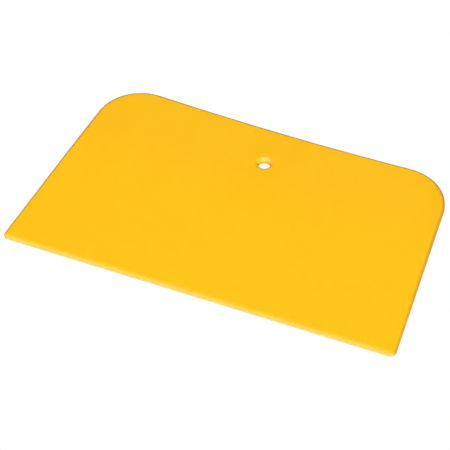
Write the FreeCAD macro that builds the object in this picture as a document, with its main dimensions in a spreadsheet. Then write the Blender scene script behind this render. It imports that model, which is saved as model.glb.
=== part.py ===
import FreeCAD, Part
import math
import os
import Sketcher
from FreeCAD import Vector

# One-piece squeegee applicator: a flexible moulded blade that is its own grip.
# Millimetres. X runs along the working edge, +Y from the working edge to the grip, +Z up.
# The flat underside lies on Z = 0 and the origin is the centre of its bounding box.

NODE = "applicator_blade"

# alias, value, what it is
DIMENSIONS = [
    ("blade_width", 152.9, "working edge between its sharp corners, before they are rounded"),
    ("blade_depth", 87.25, "working edge to the crown of the grip corners"),
    ("side_flare", 6.06, "lean of each side from square, degrees"),
    ("corner_radius", 17.8, "grip corners, in plan"),
    ("grip_dip", 1.1, "how far the grip edge dips between its corners"),
    ("lip_corner_radius", 2.2, "ends of the working edge, in plan"),
    ("grip_thickness", 3.15, "level grip zone"),
    ("lip_thickness", 1.0, "where the thinning blade zone would meet the working edge"),
    ("break_to_lip", 53.9, "working edge to the break between grip and blade zones"),
    ("break_radius", 500.0, "soft blend across that break"),
    ("nose_height", 0.72, "height of the working edge below the bevel"),
    ("bevel_depth", 1.4, "working edge to the crease of the bevel, before it is blended"),
    ("bevel_blend", 13.0, "long blend that turns the bevel into the blade zone"),
    ("edge_round_share", 0.47, "radius round the outline as a share of local thickness"),
    ("hole_diameter", 4.4, "hanging hole"),
    ("hole_to_lip", 68.75, "working edge to the centre of the hanging hole"),
    ("hole_offset", 0.85, "how far the hole sits left of the middle"),
    ("hole_rim_radius", 1.3, "rounding of both hole rims"),
]

doc = FreeCAD.newDocument("squeegee_applicator")


def make_sheet():
    sheet = doc.addObject("Spreadsheet::Sheet", "dims")
    for row, (alias, value, note) in enumerate(DIMENSIONS, start=1):
        sheet.set(f"A{row}", alias)
        sheet.set(f"B{row}", str(value))
        sheet.setAlias(f"B{row}", alias)
        sheet.set(f"C{row}", note)
    doc.recompute()
    return sheet


dims = make_sheet()
D = {alias: value for alias, value, _ in DIMENSIONS}
half_depth = D["blade_depth"] / 2
CLEAR = 5.0  # how far a cutting shape runs past the solid


def origin_plane(body, role):
    return next(f for f in body.Origin.OriginFeatures if f.Role == role)


def new_sketch(body, name, plane):
    sketch = body.newObject("Sketcher::SketchObject", name)
    sketch.AttachmentSupport = (origin_plane(body, plane), "")
    sketch.MapMode = "FlatFace"
    return sketch


def bind(sketch, constraint, expression, name):
    """Adds a dimensional constraint, names it and ties it to the sheet."""
    index = sketch.addConstraint(constraint)
    sketch.renameConstraint(index, name)
    sketch.setExpression(f"Constraints.{name}", expression)
    return index


START, END, CENTRE = 1, 2, 3
ORIGIN, X_AXIS, Y_AXIS = (-1, 1), -1, -2


def arc(centre, radius, start_deg, end_deg):
    circle = Part.Circle(centre, Vector(0, 0, 1), radius)
    return Part.ArcOfCircle(circle, math.radians(start_deg), math.radians(end_deg))


def draw_outline(sketch):
    """Flared sides, two round grip corners and a shallow dip between them, all tangent."""
    flare, radius = math.radians(D["side_flare"]), D["corner_radius"]
    half_width = D["blade_width"] / 2
    corner_y = half_depth - radius
    corner_x = (
        half_width
        - (D["blade_depth"] - radius) * math.tan(flare)
        - radius / math.cos(flare)
    )
    dip_radius = (corner_x**2 + D["grip_dip"] ** 2) / (2 * D["grip_dip"]) - radius
    dip_centre = Vector(0, half_depth - D["grip_dip"] + dip_radius, 0)
    corner = Vector(corner_x, corner_y, 0)
    left_corner = Vector(-corner_x, corner_y, 0)
    side_foot = corner + Vector(math.cos(flare), math.sin(flare), 0) * radius
    dip_angle = math.degrees(math.atan2(dip_centre.y - corner_y, corner_x))
    lip_left, lip_right = Vector(-half_width, -half_depth, 0), Vector(half_width, -half_depth, 0)
    mirror_foot = Vector(-side_foot.x, side_foot.y, 0)

    lip = sketch.addGeometry(Part.LineSegment(lip_left, lip_right))
    right = sketch.addGeometry(Part.LineSegment(lip_right, side_foot))
    right_corner = sketch.addGeometry(arc(corner, radius, D["side_flare"], 180 - dip_angle))
    dip = sketch.addGeometry(arc(dip_centre, dip_radius, 180 + dip_angle, 360 - dip_angle))
    left_corner = sketch.addGeometry(
        arc(left_corner, radius, dip_angle, 180 - D["side_flare"])
    )
    left = sketch.addGeometry(Part.LineSegment(mirror_foot, lip_left))
    low_point = sketch.addGeometry(Part.Point(Vector(0, half_depth - D["grip_dip"], 0)), True)

    relate = [
        ("Coincident", lip, START, left, END),
        ("Coincident", lip, END, right, START),
        ("Tangent", right, END, right_corner, START),
        ("Tangent", right_corner, END, dip, END),
        ("Tangent", dip, START, left_corner, START),
        ("Tangent", left_corner, END, left, START),
        ("Symmetric", lip, START, lip, END, Y_AXIS),
        ("Symmetric", right_corner, CENTRE, left_corner, CENTRE, Y_AXIS),
        ("Equal", right_corner, left_corner),
        ("PointOnObject", low_point, START, Y_AXIS),
        ("PointOnObject", low_point, START, dip),
    ]
    for words in relate:
        sketch.addConstraint(Sketcher.Constraint(*words))
    sizes = [
        ("width", "dims.blade_width", ("DistanceX", lip, START, lip, END), 2 * half_width),
        ("foot", "dims.blade_depth / 2", ("DistanceY", lip, START, *ORIGIN), half_depth),
        (
            "flare",
            "(90 + dims.side_flare) * 1deg",
            ("Angle", right),
            math.radians(90 + D["side_flare"]),
        ),
        ("corner", "dims.corner_radius", ("Radius", right_corner), radius),
        (
            "crown",
            "dims.blade_depth / 2 - dims.corner_radius",
            ("DistanceY", *ORIGIN, right_corner, CENTRE),
            corner_y,
        ),
        (
            "dip",
            "dims.blade_depth / 2 - dims.grip_dip",
            ("DistanceY", *ORIGIN, low_point, START),
            half_depth - D["grip_dip"],
        ),
    ]
    for name, expression, words, value in sizes:
        bind(sketch, Sketcher.Constraint(*words, value), expression, name)


BREAK_Y = D["break_to_lip"] - half_depth
BLADE_RISE = (D["grip_thickness"] - D["lip_thickness"]) / D["break_to_lip"]
BREAK_REACH = D["break_radius"] * math.tan(math.atan(BLADE_RISE) / 2)


def thickness_at(y):
    """Plate thickness with the bevel left out: level grip zone, thinning blade zone."""
    past_start = y - (BREAK_Y - BREAK_REACH)
    if past_start <= 0:
        return D["lip_thickness"] + BLADE_RISE * (y + half_depth)
    to_end = BREAK_Y + BREAK_REACH - y
    if to_end <= 0:
        return D["grip_thickness"]
    return D["grip_thickness"] - to_end**2 / (2 * D["break_radius"])


def draw_top(sketch):
    """Area above the top face, in the plane across the blade."""
    front, back = -half_depth - CLEAR, half_depth + CLEAR
    grip, top = D["grip_thickness"], D["grip_thickness"] + CLEAR
    tilt = math.atan(BLADE_RISE)
    foot = Vector(front, D["lip_thickness"] - BLADE_RISE * CLEAR, 0)
    knee = Vector(BREAK_Y, grip, 0)
    arc_front = knee - Vector(math.cos(tilt), math.sin(tilt), 0) * BREAK_REACH
    arc_rear = knee + Vector(BREAK_REACH, 0, 0)
    centre = arc_rear - Vector(0, D["break_radius"], 0)

    blade = sketch.addGeometry(Part.LineSegment(foot, arc_front))
    swell = sketch.addGeometry(arc(centre, D["break_radius"], 90, 90 + math.degrees(tilt)))
    level = sketch.addGeometry(Part.LineSegment(arc_rear, Vector(back, grip, 0)))
    rear = sketch.addGeometry(Part.LineSegment(Vector(back, grip, 0), Vector(back, top, 0)))
    roof = sketch.addGeometry(Part.LineSegment(Vector(back, top, 0), Vector(front, top, 0)))
    fore = sketch.addGeometry(Part.LineSegment(Vector(front, top, 0), foot))
    at_lip, at_break = [
        sketch.addGeometry(Part.Point(point), True)
        for point in (Vector(-half_depth, D["lip_thickness"], 0), knee)
    ]
    relate = [
        ("Tangent", blade, END, swell, END),
        ("Tangent", swell, START, level, START),
        ("Coincident", level, END, rear, START),
        ("Coincident", rear, END, roof, START),
        ("Coincident", roof, END, fore, START),
        ("Coincident", fore, END, blade, START),
        ("Horizontal", level),
        ("Vertical", rear),
        ("Horizontal", roof),
        ("Vertical", fore),
        ("PointOnObject", at_lip, START, blade),
        ("PointOnObject", at_break, START, blade),
        ("PointOnObject", at_break, START, level),
    ]
    for words in relate:
        sketch.addConstraint(Sketcher.Constraint(*words))
    half, clear = "dims.blade_depth / 2", f" + {CLEAR}"
    sizes = [
        ("lip_y", half, ("DistanceX", at_lip, START, *ORIGIN), half_depth),
        ("lip_z", "dims.lip_thickness", ("DistanceY", *ORIGIN, at_lip, START), D["lip_thickness"]),
        (
            "break_y",
            "dims.break_to_lip - " + half,
            ("DistanceX", *ORIGIN, at_break, START),
            BREAK_Y,
        ),
        ("grip_z", "dims.grip_thickness", ("DistanceY", *ORIGIN, at_break, START), grip),
        ("break_blend", "dims.break_radius", ("Radius", swell), D["break_radius"]),
        ("front", half + clear, ("DistanceX", fore, START, *ORIGIN), -front),
        ("back", half + clear, ("DistanceX", *ORIGIN, rear, START), back),
        ("roof", "dims.grip_thickness" + clear, ("DistanceY", *ORIGIN, roof, START), top),
    ]
    for name, expression, words, value in sizes:
        bind(sketch, Sketcher.Constraint(*words, value), expression, name)


def draw_bevel(sketch):
    """Area above the bevel, blended into the blade zone by an arc."""
    front, top = -half_depth - CLEAR, D["grip_thickness"] + CLEAR
    radius = D["bevel_blend"]
    nose = Vector(-half_depth, D["nose_height"], 0)
    crease_y = D["bevel_depth"] - half_depth
    crease = Vector(crease_y, thickness_at(crease_y), 0)
    lip = Vector(-half_depth, D["lip_thickness"], 0)
    knee = Vector(BREAK_Y, D["grip_thickness"], 0)
    up, along = (crease - nose).normalize(), (knee - lip).normalize()
    bevel_deg, face_deg = [math.degrees(math.atan2(v.y, v.x)) for v in (up, along)]
    reach = radius * math.tan(math.radians(bevel_deg - face_deg) / 2)
    arc_front, arc_rear = crease - up * reach, crease + along * reach
    centre = arc_rear + Vector(along.y, -along.x, 0) * radius
    foot = nose - up * (CLEAR / up.x)

    bevel = sketch.addGeometry(Part.LineSegment(foot, arc_front))
    blend = sketch.addGeometry(arc(centre, radius, 90 + face_deg, 90 + bevel_deg))
    riser = sketch.addGeometry(Part.LineSegment(arc_rear, Vector(arc_rear.x, top, 0)))
    roof = sketch.addGeometry(
        Part.LineSegment(Vector(arc_rear.x, top, 0), Vector(front, top, 0))
    )
    fore = sketch.addGeometry(Part.LineSegment(Vector(front, top, 0), foot))
    face = sketch.addGeometry(Part.LineSegment(arc_rear, knee), True)
    at_nose, at_crease, at_lip = [
        sketch.addGeometry(Part.Point(p), True) for p in (nose, crease, lip)
    ]
    relate = [
        ("Tangent", bevel, END, blend, END),
        ("Tangent", blend, START, face, START),
        ("Coincident", blend, START, riser, START),
        ("Coincident", riser, END, roof, START),
        ("Coincident", roof, END, fore, START),
        ("Coincident", fore, END, bevel, START),
        ("Vertical", riser),
        ("Horizontal", roof),
        ("Vertical", fore),
        ("PointOnObject", at_nose, START, bevel),
        ("PointOnObject", at_crease, START, bevel),
        ("PointOnObject", at_crease, START, face),
        ("PointOnObject", at_lip, START, face),
    ]
    for words in relate:
        sketch.addConstraint(Sketcher.Constraint(*words))
    half = "dims.blade_depth / 2"
    sizes = [
        ("nose_y", half, ("DistanceX", at_nose, START, *ORIGIN), half_depth),
        ("nose_z", "dims.nose_height", ("DistanceY", *ORIGIN, at_nose, START), nose.y),
        (
            "crease_y",
            half + " - dims.bevel_depth",
            ("DistanceX", at_crease, START, *ORIGIN),
            -crease.x,
        ),
        ("lip_y", half, ("DistanceX", at_lip, START, *ORIGIN), half_depth),
        ("lip_z", "dims.lip_thickness", ("DistanceY", *ORIGIN, at_lip, START), lip.y),
        (
            "break_y",
            "dims.break_to_lip - " + half,
            ("DistanceX", *ORIGIN, face, END),
            BREAK_Y,
        ),
        ("break_z", "dims.grip_thickness", ("DistanceY", *ORIGIN, face, END), knee.y),
        ("blend_radius", "dims.bevel_blend", ("Radius", blend), radius),
        ("front", f"{half} + {CLEAR}", ("DistanceX", fore, START, *ORIGIN), -front),
        ("roof", f"dims.grip_thickness + {CLEAR}", ("DistanceY", *ORIGIN, roof, START), top),
    ]
    for name, expression, words, value in sizes:
        bind(sketch, Sketcher.Constraint(*words, value), expression, name)


def hole_centre():
    return Vector(-D["hole_offset"], D["hole_to_lip"] - half_depth, 0)


def draw_hole(sketch):
    radius = D["hole_diameter"] / 2
    centre = hole_centre()
    ring = sketch.addGeometry(Part.Circle(centre, Vector(0, 0, 1), radius))
    across = Sketcher.Constraint("DistanceX", ring, CENTRE, *ORIGIN, -centre.x)
    bind(sketch, across, "dims.hole_offset", "across")
    along = Sketcher.Constraint("DistanceY", *ORIGIN, ring, CENTRE, centre.y)
    bind(sketch, along, "dims.hole_to_lip - dims.blade_depth / 2", "along")
    size = Sketcher.Constraint("Diameter", ring, 2 * radius)
    bind(sketch, size, "dims.hole_diameter", "bore")


def cut_through(body, sketch, name):
    """Pocket both ways through the body; stops the build if nothing was removed."""
    before = body.Shape.Volume
    pocket = body.newObject("PartDesign::Pocket", name)
    pocket.Profile = sketch
    pocket.Type = "ThroughAll"
    pocket.Midplane = True
    doc.recompute()
    if not pocket.Shape.Volume < before - 1e-6:
        raise RuntimeError(f"{name} removed nothing")
    return pocket


def edge_names(shape, wanted):
    return [f"Edge{i}" for i, edge in enumerate(shape.Edges, start=1) if wanted(edge)]


# Flat blank: outline padded, then the two-zone top face, then the lip corners.
blank = doc.addObject("PartDesign::Body", "blade_blank")
outline = new_sketch(blank, "outline", "XY_Plane")
draw_outline(outline)
plate = blank.newObject("PartDesign::Pad", "plate")
plate.Profile = outline
plate.setExpression("Length", "dims.grip_thickness + 1")
doc.recompute()

top_area = new_sketch(blank, "top_area", "YZ_Plane")
draw_top(top_area)
top_face = cut_through(blank, top_area, "top_face")


def is_lip_corner(edge):
    a, b = [v.Point for v in edge.Vertexes]
    return abs(a.x - b.x) < 0.01 and max(a.y, b.y) < 0.01 - half_depth


lip_corners = blank.newObject("PartDesign::Fillet", "lip_corners")
lip_corners.Base = (top_face, edge_names(top_face.Shape, is_lip_corner))
lip_corners.setExpression("Radius", "dims.lip_corner_radius")
doc.recompute()


def outline_loops(shape):
    """Edges of both faces, each with its radius at either end.

    The fillet reads the two radii in the direction of the loop: anticlockwise round
    the underside, clockwise round the top.
    """
    found = []
    for i, edge in enumerate(shape.Edges, start=1):
        a, b = [edge.valueAt(p) for p in (edge.FirstParameter, edge.LastParameter)]
        if abs(a.x - b.x) < 0.01:
            continue
        underside = max(a.z, b.z) < 1e-6
        anticlockwise = a.x * b.y - a.y * b.x > 0
        if underside != anticlockwise:
            a, b = b, a
        radii = [D["edge_round_share"] * thickness_at(end.y) for end in (a, b)]
        found.append((i, *radii))
    return found


# Rounded outline: the radius follows the thickness, and a narrow flat is left between
# the two roundings where the mould halves meet.
rim = doc.addObject("Part::Fillet", "rim")
rim.Base = blank
rim.Edges = outline_loops(blank.Shape)
doc.recompute()

# The finished blade: bevelled working edge and a rounded hanging hole.
blade = doc.addObject("PartDesign::Body", "blade")
blade.Label = NODE
blade.BaseFeature = rim
doc.recompute()

bevel_area = new_sketch(blade, "bevel_area", "YZ_Plane")
draw_bevel(bevel_area)
bevel = cut_through(blade, bevel_area, "bevel")

hole_ring = new_sketch(blade, "hole_ring", "XY_Plane")
draw_hole(hole_ring)
hole = cut_through(blade, hole_ring, "hanging_hole")


def is_hole_rim(edge):
    box = edge.BoundBox
    shift = Vector(box.Center.x, box.Center.y, 0) - hole_centre()
    return shift.Length < 0.1 and box.ZLength < 0.1


hole_rims = blade.newObject("PartDesign::Fillet", "hole_rims")
hole_rims.Base = (hole, edge_names(hole.Shape, is_hole_rim))
hole_rims.setExpression("Radius", "dims.hole_rim_radius")
doc.recompute()

blade.Placement = FreeCAD.Placement(Vector(0, 0, 0), FreeCAD.Rotation())
doc.recompute()

for item in doc.Objects:
    if {"Invalid", "Error"} & set(item.State):
        raise RuntimeError(f"{item.Name}: {item.State}")
    shape = getattr(item, "Shape", None)
    if shape is not None and (shape.isNull() or not shape.isValid()):
        raise RuntimeError(f"{item.Name} has no valid shape")
for sketch in (outline, top_area, bevel_area, hole_ring):
    if not sketch.FullyConstrained:
        raise RuntimeError(f"{sketch.Name} is not fully constrained")

os.makedirs("parts", exist_ok=True)
blade.Shape.exportStep(f"parts/{NODE}.step")
box = blade.Shape.optimalBoundingBox()
print(NODE, [round(v, 3) for v in (box.XLength, box.YLength, box.ZLength)])
print("solids", len(blade.Shape.Solids), "volume mm3", round(blade.Shape.Volume, 1))
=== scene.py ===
import math
import bpy
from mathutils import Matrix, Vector


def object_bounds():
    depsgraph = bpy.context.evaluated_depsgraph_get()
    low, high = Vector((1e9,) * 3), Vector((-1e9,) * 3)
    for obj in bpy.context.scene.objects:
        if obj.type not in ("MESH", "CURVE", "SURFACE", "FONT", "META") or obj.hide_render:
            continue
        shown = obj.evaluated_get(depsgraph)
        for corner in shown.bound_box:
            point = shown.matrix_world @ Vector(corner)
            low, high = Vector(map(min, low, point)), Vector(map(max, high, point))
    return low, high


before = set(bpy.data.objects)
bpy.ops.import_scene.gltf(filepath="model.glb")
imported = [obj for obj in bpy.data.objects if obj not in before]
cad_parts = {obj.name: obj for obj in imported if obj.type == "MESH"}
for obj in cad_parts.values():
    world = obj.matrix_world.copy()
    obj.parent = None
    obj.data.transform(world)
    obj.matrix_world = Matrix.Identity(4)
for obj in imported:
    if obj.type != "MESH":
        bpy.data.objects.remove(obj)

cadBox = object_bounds()
low, high = cadBox
print("frame loaded, box", [round(v, 4) for v in low], [round(v, 4) for v in high])


view = {
    "azimuth": 22.30,       # degrees round from the lip side, towards +X
    "elevation": 47.20,
    "distance": 1.28104,
    "lens": 280.0,
    "sensor": 36.0,
    "target": (-0.00357, -0.00666, 0.0),
}


def fromAngles(azimuth, elevation):
    a, e = math.radians(azimuth), math.radians(elevation)
    return Vector((math.sin(a) * math.cos(e), -math.cos(a) * math.cos(e), math.sin(e)))


def addCamera():
    data = bpy.data.cameras.new("camera")
    data.lens = view["lens"]
    data.sensor_width = view["sensor"]
    data.clip_start = 0.05
    data.clip_end = 20.0
    camera = bpy.data.objects.new("camera", data)
    bpy.context.collection.objects.link(camera)
    away = fromAngles(view["azimuth"], view["elevation"])
    camera.location = Vector(view["target"]) + away * view["distance"]
    camera.rotation_euler = away.to_track_quat("Z", "Y").to_euler()
    bpy.context.scene.camera = camera


addCamera()
print("camera placed")


def addNode(tree, kind, **settings):
    node = tree.nodes.new(kind)
    for name, value in settings.items():
        setattr(node, name, value)
    return node


def maths(tree, operation, first, second=None, third=None, clamp=False):
    node = addNode(tree, "ShaderNodeMath", operation=operation, use_clamp=clamp)
    for socket, value in zip(node.inputs, (first, second, third)):
        if value is None:
            continue
        if isinstance(value, (int, float)):
            socket.default_value = value
        else:
            tree.links.new(value, socket)
    return node.outputs[0]


def fade(tree, value, start, end):
    # 0 at start, 1 at end, eased; start and end are numbers or sockets
    node = addNode(tree, "ShaderNodeMapRange", interpolation_type="SMOOTHSTEP")
    tree.links.new(value, node.inputs["Value"])
    for name, limit in (("From Min", start), ("From Max", end)):
        if isinstance(limit, (int, float)):
            node.inputs[name].default_value = limit
        else:
            tree.links.new(limit, node.inputs[name])
    return node.outputs["Result"]


def blendColours(tree, factor, first, second):
    node = addNode(tree, "ShaderNodeMix", data_type="RGBA", blend_type="MIX")
    for socket, value in ((node.inputs[0], factor), (node.inputs[6], first), (node.inputs[7], second)):
        if isinstance(value, (int, float, tuple)):
            socket.default_value = value
        else:
            tree.links.new(value, socket)
    return node.outputs[2]


def newGroup(name, takes, gives):
    tree = bpy.data.node_groups.new(name, "ShaderNodeTree")
    kinds = {"value": "NodeSocketFloat", "vector": "NodeSocketVector", "colour": "NodeSocketColor"}
    for label, kind, default in takes:
        socket = tree.interface.new_socket(label, in_out="INPUT", socket_type=kinds[kind])
        if default is not None:
            socket.default_value = default
    for label, kind in gives:
        tree.interface.new_socket(label, in_out="OUTPUT", socket_type=kinds[kind])
    return tree, tree.nodes.new("NodeGroupInput"), tree.nodes.new("NodeGroupOutput")


def stretched(tree, vector, scale, turn=0.0):
    node = addNode(tree, "ShaderNodeMapping", vector_type="POINT")
    node.inputs["Scale"].default_value = scale
    node.inputs["Rotation"].default_value = (0.0, 0.0, turn)
    tree.links.new(vector, node.inputs["Vector"])
    return node.outputs["Vector"]


def noise(tree, vector, scale, detail=2.0, roughness=0.5):
    node = addNode(tree, "ShaderNodeTexNoise")
    node.inputs["Scale"].default_value = scale
    node.inputs["Detail"].default_value = detail
    node.inputs["Roughness"].default_value = roughness
    tree.links.new(vector, node.inputs["Vector"])
    return node.outputs["Fac"]


def makeToneGroup():
    # through-coloured plastic: cloudy flow, deeper where thick; the pale lip is painted light, the glow of
    # light let in through the thin edge painted into the colour
    tree, source, sink = newGroup("plasticTone", [
        ("Position", "vector", None),
        ("Grip Colour", "colour", (0.9, 0.5, 0.01, 1.0)),
        ("Cloud Colour", "colour", (0.9, 0.5, 0.01, 1.0)),
        ("Blade Colour", "colour", (0.9, 0.5, 0.01, 1.0)),
        ("Lip Colour", "colour", (0.9, 0.7, 0.1, 1.0)),
        ("Grip Start", "value", 0.03),
        ("Blade Start", "value", -0.03),
        ("Lip Start", "value", -0.03),
        ("Lip End", "value", -0.04),
        ("Thin Share", "value", 0.8),
    ], [("Colour", "colour"), ("Lip", "value")])
    place = addNode(tree, "ShaderNodeSeparateXYZ")
    tree.links.new(source.outputs["Position"], place.inputs["Vector"])
    cloud = noise(tree, stretched(tree, source.outputs["Position"], (1.0, 0.55, 1.0), 0.35), 24.0, 3.0, 0.45)
    streak = noise(tree, stretched(tree, source.outputs["Position"], (1.0, 0.12, 1.0)), 95.0, 2.0)
    flow = maths(tree, "MULTIPLY_ADD", streak, 0.35, maths(tree, "MULTIPLY", cloud, 0.65))
    clouded = blendColours(tree, fade(tree, flow, 0.34, 0.66), source.outputs["Grip Colour"],
                           source.outputs["Cloud Colour"])
    thin = fade(tree, place.outputs["Y"], source.outputs["Grip Start"], source.outputs["Blade Start"])
    body = blendColours(tree, maths(tree, "MULTIPLY", thin, source.outputs["Thin Share"]), clouded,
                        source.outputs["Blade Colour"])
    lip = fade(tree, place.outputs["Y"], source.outputs["Lip Start"], source.outputs["Lip End"])
    # the painted lip glow wanders a little along the lip
    wander = maths(tree, "MULTIPLY_ADD", noise(tree, source.outputs["Position"], 60.0, 2.0), 0.3, 0.85)
    lip = maths(tree, "MULTIPLY", maths(tree, "MULTIPLY", lip, lip), wander, clamp=True)
    # painted light: blend towards the pale lip colour for the glow through the thin edge
    tree.links.new(blendColours(tree, lip, body, source.outputs["Lip Colour"]), sink.inputs["Colour"])
    tree.links.new(lip, sink.inputs["Lip"])
    return tree


outline = {
    "halfWidth": 0.07645,   # at the lip, before its corners are rounded
    "halfDepth": 0.043625,
    "lean": 6.06,           # of each side, degrees
    "corner": 0.0178,       # radius of the grip corners
    "dip": 0.0011,          # of the grip edge between its corners
}


def makeOutlineGroup():
    # how far in from the edge of the plan: leaning sides, round corners and a long shallow arc
    lean, corner = math.radians(outline["lean"]), outline["corner"]
    halfDepth = outline["halfDepth"]
    centreY = halfDepth - corner
    centreX = outline["halfWidth"] - (centreY + halfDepth) * math.tan(lean) - corner / math.cos(lean)
    lowest = halfDepth - outline["dip"]
    rise = lowest - centreY
    arcRadius = (centreX ** 2 + rise ** 2 - corner ** 2) / (2 * (corner - rise))
    arcY = lowest + arcRadius
    span = math.hypot(centreX, arcY - centreY)

    tree, source, sink = newGroup("rimDistance", [("Position", "vector", None)],
                                  [("Distance", "value")])
    place = addNode(tree, "ShaderNodeSeparateXYZ")
    tree.links.new(source.outputs["Position"], place.inputs["Vector"])
    x, y = maths(tree, "ABSOLUTE", place.outputs["X"]), place.outputs["Y"]
    # side: (halfWidth - x) * cos - (y + halfDepth) * sin
    side = maths(tree, "MULTIPLY_ADD", x, -math.cos(lean),
                 outline["halfWidth"] * math.cos(lean) - halfDepth * math.sin(lean))
    side = maths(tree, "MULTIPLY_ADD", y, -math.sin(lean), side)
    down = maths(tree, "SUBTRACT", arcY, y)
    reach = maths(tree, "SQRT", maths(tree, "MULTIPLY_ADD", x, x, maths(tree, "MULTIPLY", down, down)))
    straight = maths(tree, "MINIMUM", side, maths(tree, "SUBTRACT", reach, arcRadius))
    # corner: radius less the distance from its centre, between the two tangent directions
    alongX = maths(tree, "SUBTRACT", x, centreX)
    alongY = maths(tree, "SUBTRACT", y, centreY)
    fromCentre = maths(tree, "SQRT", maths(tree, "MULTIPLY_ADD", alongX, alongX,
                                           maths(tree, "MULTIPLY", alongY, alongY)))
    pastSide = maths(tree, "MULTIPLY_ADD", alongX, -math.sin(lean),
                     maths(tree, "MULTIPLY", alongY, math.cos(lean)))
    beforeArc = maths(tree, "MULTIPLY_ADD", alongX, (arcY - centreY) / span,
                      maths(tree, "MULTIPLY", alongY, centreX / span))
    inCorner = maths(tree, "MULTIPLY", maths(tree, "GREATER_THAN", pastSide, 0.0),
                     maths(tree, "GREATER_THAN", beforeArc, 0.0))
    bend = maths(tree, "SUBTRACT", maths(tree, "SUBTRACT", corner, fromCentre), straight)
    tree.links.new(maths(tree, "MULTIPLY_ADD", inCorner, bend, straight), sink.inputs["Distance"])
    return tree


shadeAndRub = {
    "paintedShadeFull": 0.35,       # share of the painted-shade band that is fully shaded
    "noseStart": -0.0424,   # along Y, where the working edge turns down
    "noseEnd": -0.0431,
    "rubInner": (0.0022, 0.0014),
    "rubOuter": (0.0007, 0.0012),
}


def makeRimGroup():
    # handled edge: painted shade along the rim where the rounded edge turns away from the light, painted
    # shade under the working edge where it meets the floor, and a broken paler line, a painted highlight
    # where the face turns over, rubbed glossier
    tree, source, sink = newGroup("rimShadeAndRub", [
        ("Position", "vector", None),
        ("Distance", "value", 0.0),
        ("Lip", "value", 0.0),
        ("Soil Reach", "value", 0.001),
        ("Sole Height", "value", 0.0005),
    ], [("Painted Shade", "value"), ("Sole", "value"), ("Rub And Highlight", "value")])
    place = addNode(tree, "ShaderNodeSeparateXYZ")
    tree.links.new(source.outputs["Position"], place.inputs["Vector"])
    inward, above = source.outputs["Distance"], place.outputs["Z"]
    awayFromLip = maths(tree, "SUBTRACT", 1.0, source.outputs["Lip"], clamp=True)
    patchy = maths(tree, "MULTIPLY_ADD", noise(tree, source.outputs["Position"], 140.0, 3.0), 0.5, 0.75)
    # painted shade: a patchy darker band along the rim, where the rounded edge turns away from the light
    full = maths(tree, "MULTIPLY", source.outputs["Soil Reach"], shadeAndRub["paintedShadeFull"])
    paintedShade = maths(tree, "MULTIPLY", fade(tree, inward, source.outputs["Soil Reach"], full), awayFromLip)
    paintedShade = maths(tree, "MULTIPLY", paintedShade, patchy, clamp=True)
    # painted shade: darker towards the underside of the working edge
    nose = fade(tree, place.outputs["Y"], shadeAndRub["noseStart"], shadeAndRub["noseEnd"])
    sole = maths(tree, "MULTIPLY", fade(tree, above, source.outputs["Sole Height"], 0.0), nose)
    sole = maths(tree, "MULTIPLY", sole, patchy, clamp=True)
    # painted highlight, broken up like rubbed wear, where the face starts to turn over
    band = maths(tree, "MULTIPLY", fade(tree, inward, *shadeAndRub["rubInner"]),
                 fade(tree, inward, *shadeAndRub["rubOuter"]))
    broken = fade(tree, noise(tree, source.outputs["Position"], 260.0, 4.0, 0.6), 0.48, 0.7)
    rubAndHighlight = maths(tree, "MULTIPLY", band, broken, clamp=True)
    tree.links.new(paintedShade, sink.inputs["Painted Shade"])
    tree.links.new(sole, sink.inputs["Sole"])
    tree.links.new(rubAndHighlight, sink.inputs["Rub And Highlight"])
    return tree


hole = {
    "x": -0.00085,
    "y": 0.025125,
    "edge": 0.0030,         # from the axis, where the painted shade and glow are full
    "clear": 0.0042,        # and where it has gone
    "rimFrom": (0.0016, 0.0026),    # heights over which the top rim turns to its duller painted shade
    "wallFrom": (0.0022, 0.0010),   # over which its grip side darkens with painted shade
    "sideFrom": (0.0026, 0.0018),   # and over which the rest of it pales with painted glow
    "gripFrom": (0.1, 0.75),        # towards +Y, as a share of the way round
}


def makeHoleGroup():
    # hanging hole: on the grip side a dull top rim in painted shade above a wall in painted shade, elsewhere
    # a wall with painted glow
    tree, source, sink = newGroup("holeShadeAndGlow", [("Position", "vector", None)],
                                  [("Rim", "value"), ("Wall", "value"), ("Side", "value")])
    place = addNode(tree, "ShaderNodeSeparateXYZ")
    tree.links.new(source.outputs["Position"], place.inputs["Vector"])
    alongX = maths(tree, "SUBTRACT", place.outputs["X"], hole["x"])
    alongY = maths(tree, "SUBTRACT", place.outputs["Y"], hole["y"])
    away = maths(tree, "SQRT", maths(tree, "MULTIPLY_ADD", alongX, alongX,
                                     maths(tree, "MULTIPLY", alongY, alongY)))
    near = fade(tree, away, hole["clear"], hole["edge"])
    upper = fade(tree, place.outputs["Z"], *hole["rimFrom"])
    lower = fade(tree, place.outputs["Z"], *hole["wallFrom"])
    gripSide = fade(tree, maths(tree, "DIVIDE", alongY, away), *hole["gripFrom"])
    onGripSide = maths(tree, "MULTIPLY", near, gripSide)
    wallOnly = fade(tree, place.outputs["Z"], *hole["sideFrom"])
    elsewhere = maths(tree, "SUBTRACT", near, onGripSide)
    tree.links.new(maths(tree, "MULTIPLY", onGripSide, upper), sink.inputs["Rim"])
    tree.links.new(maths(tree, "MULTIPLY", onGripSide, lower), sink.inputs["Wall"])
    tree.links.new(maths(tree, "MULTIPLY", elsewhere, wallOnly), sink.inputs["Side"])
    return tree


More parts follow.
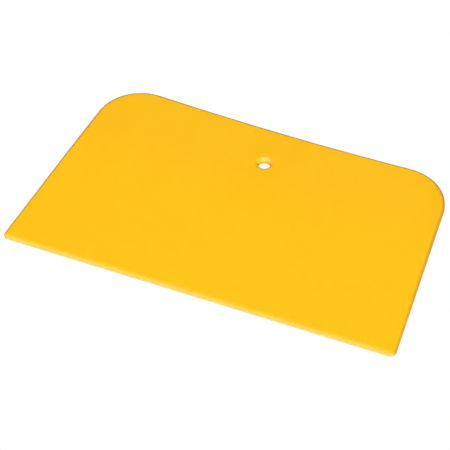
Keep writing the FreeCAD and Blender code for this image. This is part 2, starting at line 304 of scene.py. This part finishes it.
def makeScuffGroup():
    # hair scratches left by wiping: long ones along Y near the lip, a few crossing ones anywhere
    tree, source, sink = newGroup("wipeScuffs", [
        ("Position", "vector", None),
        ("Reach", "value", 0.0),
    ], [("Scuffs", "value")])
    place = addNode(tree, "ShaderNodeSeparateXYZ")
    tree.links.new(source.outputs["Position"], place.inputs["Vector"])
    wiped = noise(tree, stretched(tree, source.outputs["Position"], (1.0, 0.035, 1.0), 0.06), 1500.0, 1.0)
    wiped = fade(tree, wiped, 0.63, 0.72)
    gate = fade(tree, noise(tree, source.outputs["Position"], 45.0, 2.0), 0.46, 0.62)
    nearLip = fade(tree, place.outputs["Y"], source.outputs["Reach"], -0.043)
    wiped = maths(tree, "MULTIPLY", maths(tree, "MULTIPLY", wiped, gate), nearLip)
    crossing = noise(tree, stretched(tree, source.outputs["Position"], (0.05, 1.0, 1.0), 0.7), 1100.0, 1.0)
    crossing = fade(tree, crossing, 0.68, 0.76)
    strayGate = fade(tree, noise(tree, source.outputs["Position"], 33.0, 1.0), 0.55, 0.7)
    stray = maths(tree, "MULTIPLY", crossing, strayGate)
    tree.links.new(maths(tree, "MAXIMUM", wiped, stray), sink.inputs["Scuffs"])
    return tree


def makeGrainGroup():
    # satin mould texture and the slow waviness of a thin moulded plate
    tree, source, sink = newGroup("mouldGrain", [
        ("Position", "vector", None),
        ("Grain", "value", 1.0),
        ("Wave", "value", 1.0),
    ], [("Height", "value"), ("Sheen", "value")])
    fine = noise(tree, source.outputs["Position"], 4200.0, 2.0, 0.6)
    coarse = noise(tree, source.outputs["Position"], 1400.0, 2.0, 0.5)
    wave = noise(tree, stretched(tree, source.outputs["Position"], (1.0, 0.6, 1.0)), 42.0, 1.0)
    grain = maths(tree, "MULTIPLY_ADD", fine, 0.6, maths(tree, "MULTIPLY", coarse, 0.4))
    height = maths(tree, "MULTIPLY_ADD", grain, source.outputs["Grain"],
                   maths(tree, "MULTIPLY", wave, source.outputs["Wave"]))
    patches = noise(tree, source.outputs["Position"], 70.0, 3.0, 0.55)
    sheen = maths(tree, "MULTIPLY_ADD", coarse, 0.35, maths(tree, "MULTIPLY", patches, 0.65))
    tree.links.new(height, sink.inputs["Height"])
    tree.links.new(sheen, sink.inputs["Sheen"])
    return tree


plastic = {
    "grip": (1.0, 0.516, 0.0080, 1.0),
    "cloud": (1.0, 0.537, 0.0112, 1.0),
    "blade": (1.0, 0.520, 0.0044, 1.0),
    # painted light: the pale glow of the thin lip
    "lip": (0.72, 0.620, 0.1700, 1.0),
    "gripStart": 0.030,
    "bladeStart": -0.030,
    "lipStart": -0.0405,
    "lipEnd": -0.0441,
    # painted shade along the rim and on the grip side of the hole wall
    "paintedShade": (0.62, 0.270, 0.0040, 1.0),
    "paintedShadeAmount": 0.62,
    "paintedShadeReach": 0.0012,
    # painted shade under the working edge
    "sole": (0.38, 0.300, 0.0700, 1.0),
    "soleAmount": 0.85,
    "soleHeight": 0.0012,
    # painted shade on the grip-side rim of the hole
    "holeRim": (0.84, 0.430, 0.0500, 1.0),
    "holeRimAmount": 0.80,
    "holeRimDull": 0.25,
    "holeWallAmount": 0.75,
    # painted glow on the other walls of the hole
    "holeSide": (1.0, 0.720, 0.1000, 1.0),
    "holeSideAmount": 0.85,
    # painted highlight where the face turns over, also rubbed wear
    "rubAndHighlight": (0.97, 0.620, 0.0400, 1.0),
    "rubAndHighlightAmount": 0.25,
    "scuff": (0.98, 0.640, 0.0500, 1.0),
    "scuffAmount": 0.22,
    "scuffReach": -0.012,
    "roughLow": 0.34,
    "roughHigh": 0.46,
    "grain": 0.25,
    "wave": 1.0,
    "bumpDepth": 0.00005,
    "bumpStrength": 0.35,
    "specular": 0.40,
    "underSkin": 0.35,
    "underSkinRadius": (1.0, 0.55, 0.08),
    "underSkinDepth": 0.0012,
    "rubGloss": -0.08,
    "scuffDull": 0.15,
    "scuffGroove": -0.3,
    "thinShare": 0.8,
}


def makeBladePlastic():
    material = bpy.data.materials.new("bladePlastic")
    material.use_nodes = True
    tree = material.node_tree
    shader = tree.nodes["Principled BSDF"]
    coordinates = addNode(tree, "ShaderNodeTexCoord")
    position = coordinates.outputs["Object"]

    def place(group, **values):
        node = addNode(tree, "ShaderNodeGroup", node_tree=group)
        node.label = group.name
        tree.links.new(position, node.inputs["Position"])
        for label, value in values.items():
            node.inputs[label.replace("_", " ")].default_value = value
        return node

    tone = place(makeToneGroup(), Grip_Colour=plastic["grip"], Cloud_Colour=plastic["cloud"],
                 Blade_Colour=plastic["blade"], Lip_Colour=plastic["lip"],
                 Grip_Start=plastic["gripStart"], Blade_Start=plastic["bladeStart"],
                 Lip_Start=plastic["lipStart"], Lip_End=plastic["lipEnd"],
                 Thin_Share=plastic["thinShare"])
    edge = place(makeOutlineGroup())
    rim = place(makeRimGroup(), Soil_Reach=plastic["paintedShadeReach"], Sole_Height=plastic["soleHeight"])
    tree.links.new(edge.outputs["Distance"], rim.inputs["Distance"])
    tree.links.new(tone.outputs["Lip"], rim.inputs["Lip"])
    hanging = place(makeHoleGroup())
    scuffs = place(makeScuffGroup(), Reach=plastic["scuffReach"])
    grain = place(makeGrainGroup(), Grain=plastic["grain"], Wave=plastic["wave"])

    # painted shade along the rim and under the working edge, and a painted highlight where the face turns
    # over
    rimShadeMix = maths(tree, "MULTIPLY", rim.outputs["Painted Shade"], plastic["paintedShadeAmount"])
    soleShadeMix = maths(tree, "MULTIPLY", rim.outputs["Sole"], plastic["soleAmount"])
    rubHighlightMix = maths(tree, "MULTIPLY", rim.outputs["Rub And Highlight"], plastic["rubAndHighlightAmount"])
    scuffed = maths(tree, "MULTIPLY", scuffs.outputs["Scuffs"], plastic["scuffAmount"])
    colour = blendColours(tree, rimShadeMix, tone.outputs["Colour"], plastic["paintedShade"])
    colour = blendColours(tree, soleShadeMix, colour, plastic["sole"])
    # painted shade on the hole's grip-side rim and wall, painted glow on its other walls
    colour = blendColours(tree, maths(tree, "MULTIPLY", hanging.outputs["Rim"], plastic["holeRimAmount"]),
                          colour, plastic["holeRim"])
    colour = blendColours(tree, maths(tree, "MULTIPLY", hanging.outputs["Wall"], plastic["holeWallAmount"]),
                          colour, plastic["paintedShade"])
    colour = blendColours(tree, maths(tree, "MULTIPLY", hanging.outputs["Side"], plastic["holeSideAmount"]),
                          colour, plastic["holeSide"])
    colour = blendColours(tree, rubHighlightMix, colour, plastic["rubAndHighlight"])
    colour = blendColours(tree, scuffed, colour, plastic["scuff"])
    tree.links.new(colour, shader.inputs["Base Color"])

    # handled rim is a little glossier, scuffs are duller
    span = plastic["roughHigh"] - plastic["roughLow"]
    rough = maths(tree, "MULTIPLY_ADD", grain.outputs["Sheen"], span, plastic["roughLow"])
    rough = maths(tree, "MULTIPLY_ADD", hanging.outputs["Rim"], plastic["holeRimDull"], rough)
    rough = maths(tree, "MULTIPLY_ADD", rim.outputs["Rub And Highlight"], plastic["rubGloss"], rough)
    rough = maths(tree, "MULTIPLY_ADD", scuffs.outputs["Scuffs"], plastic["scuffDull"], rough, clamp=True)
    tree.links.new(rough, shader.inputs["Roughness"])

    height = maths(tree, "MULTIPLY_ADD", scuffs.outputs["Scuffs"], plastic["scuffGroove"],
                   grain.outputs["Height"])
    bump = addNode(tree, "ShaderNodeBump")
    bump.inputs["Strength"].default_value = plastic["bumpStrength"]
    bump.inputs["Distance"].default_value = plastic["bumpDepth"]
    tree.links.new(height, bump.inputs["Height"])
    tree.links.new(bump.outputs["Normal"], shader.inputs["Normal"])

    shader.inputs["Specular IOR Level"].default_value = plastic["specular"]
    shader.inputs["Subsurface Weight"].default_value = plastic["underSkin"]
    shader.inputs["Subsurface Radius"].default_value = plastic["underSkinRadius"]
    shader.inputs["Subsurface Scale"].default_value = plastic["underSkinDepth"]
    return material


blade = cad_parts["applicator_blade"]
blade.material_slots[0].material = makeBladePlastic()
print("blade plastic made")


floorSetup = {
    "size": 6.0,
    "height": -0.00002,
    "white": 1.0,           # as the camera sees it
    "grey": 0.45,           # as the blade sees it
}


def addFloor():
    bpy.ops.object.select_all(action="DESELECT")
    bpy.ops.mesh.primitive_plane_add(size=floorSetup["size"], location=(0, 0, floorSetup["height"]))
    floor = bpy.context.object
    floor.name = "floor"
    bpy.ops.object.transform_apply(location=True, rotation=True, scale=True)
    material = bpy.data.materials.new("paleFloor")
    material.use_nodes = True
    tree = material.node_tree
    shader = tree.nodes["Principled BSDF"]
    grey = floorSetup["grey"]
    shader.inputs["Base Color"].default_value = (grey, grey, grey, 1.0)
    shader.inputs["Roughness"].default_value = 0.9
    shader.inputs["Specular IOR Level"].default_value = 0.0
    glow = addNode(tree, "ShaderNodeEmission")
    glow.inputs["Strength"].default_value = floorSetup["white"]
    path = addNode(tree, "ShaderNodeLightPath")
    mix = addNode(tree, "ShaderNodeMixShader")
    tree.links.new(path.outputs["Is Camera Ray"], mix.inputs["Fac"])
    tree.links.new(shader.outputs["BSDF"], mix.inputs[1])
    tree.links.new(glow.outputs["Emission"], mix.inputs[2])
    tree.links.new(mix.outputs["Shader"], tree.nodes["Material Output"].inputs["Surface"])
    floor.data.materials.append(material)


softboxes = {
    "keyLight": {"azimuth": 19.0, "elevation": 34.0, "distance": 5.0, "size": 2.7, "power": 411.0},
}


def addSoftbox(name, box):
    data = bpy.data.lights.new(name, "AREA")
    data.shape = "DISK"
    data.size = box["size"]
    data.energy = box["power"]
    lamp = bpy.data.objects.new(name, data)
    bpy.context.collection.objects.link(lamp)
    away = fromAngles(box["azimuth"], box["elevation"])
    lamp.location = away * box["distance"]
    lamp.rotation_euler = away.to_track_quat("Z", "Y").to_euler()
    lamp.visible_camera = False


room = {
    "front": 0.28,
    "back": 0.06,
    "farWall": 0.28,
    "white": 1.0,           # as the camera sees it
    "dimmed": (-0.2, 0.5),  # along Y, from front to back
    "glowBehind": (0.1, 0.8),
    "glowBelow": (0.40, 0.05),
}


def addRoom():
    # white to the camera; softly brighter in front than behind for everything else
    world = bpy.data.worlds.new("studio")
    world.use_nodes = True
    tree = world.node_tree
    soft = tree.nodes["Background"]
    coordinates = addNode(tree, "ShaderNodeTexCoord")
    place = addNode(tree, "ShaderNodeSeparateXYZ")
    tree.links.new(coordinates.outputs["Generated"], place.inputs["Vector"])
    level = addNode(tree, "ShaderNodeMapRange")
    level.inputs["From Min"].default_value = room["dimmed"][0]
    level.inputs["From Max"].default_value = room["dimmed"][1]
    level.inputs["To Min"].default_value = room["front"]
    level.inputs["To Max"].default_value = room["back"]
    tree.links.new(place.outputs["Y"], level.inputs["Value"])
    # a low glow behind, so the grip edge isn't black from that side
    glow = maths(tree, "MULTIPLY", fade(tree, place.outputs["Y"], *room["glowBehind"]),
                 fade(tree, place.outputs["Z"], *room["glowBelow"]))
    glow = maths(tree, "MULTIPLY_ADD", glow, room["farWall"], level.outputs["Result"])
    tree.links.new(glow, soft.inputs["Strength"])
    soft.inputs["Color"].default_value = (1.0, 1.0, 1.0, 1.0)
    white = addNode(tree, "ShaderNodeBackground")
    white.inputs["Color"].default_value = (1.0, 1.0, 1.0, 1.0)
    white.inputs["Strength"].default_value = room["white"]
    path = addNode(tree, "ShaderNodeLightPath")
    mix = addNode(tree, "ShaderNodeMixShader")
    tree.links.new(path.outputs["Is Camera Ray"], mix.inputs["Fac"])
    tree.links.new(soft.outputs["Background"], mix.inputs[1])
    tree.links.new(white.outputs["Background"], mix.inputs[2])
    tree.links.new(mix.outputs["Shader"], tree.nodes["World Output"].inputs["Surface"])
    bpy.context.scene.world = world


addFloor()
for name, box in softboxes.items():
    addSoftbox(name, box)
addRoom()
bpy.context.scene.view_settings.view_transform = "Standard"
print("floor, lights and room made")
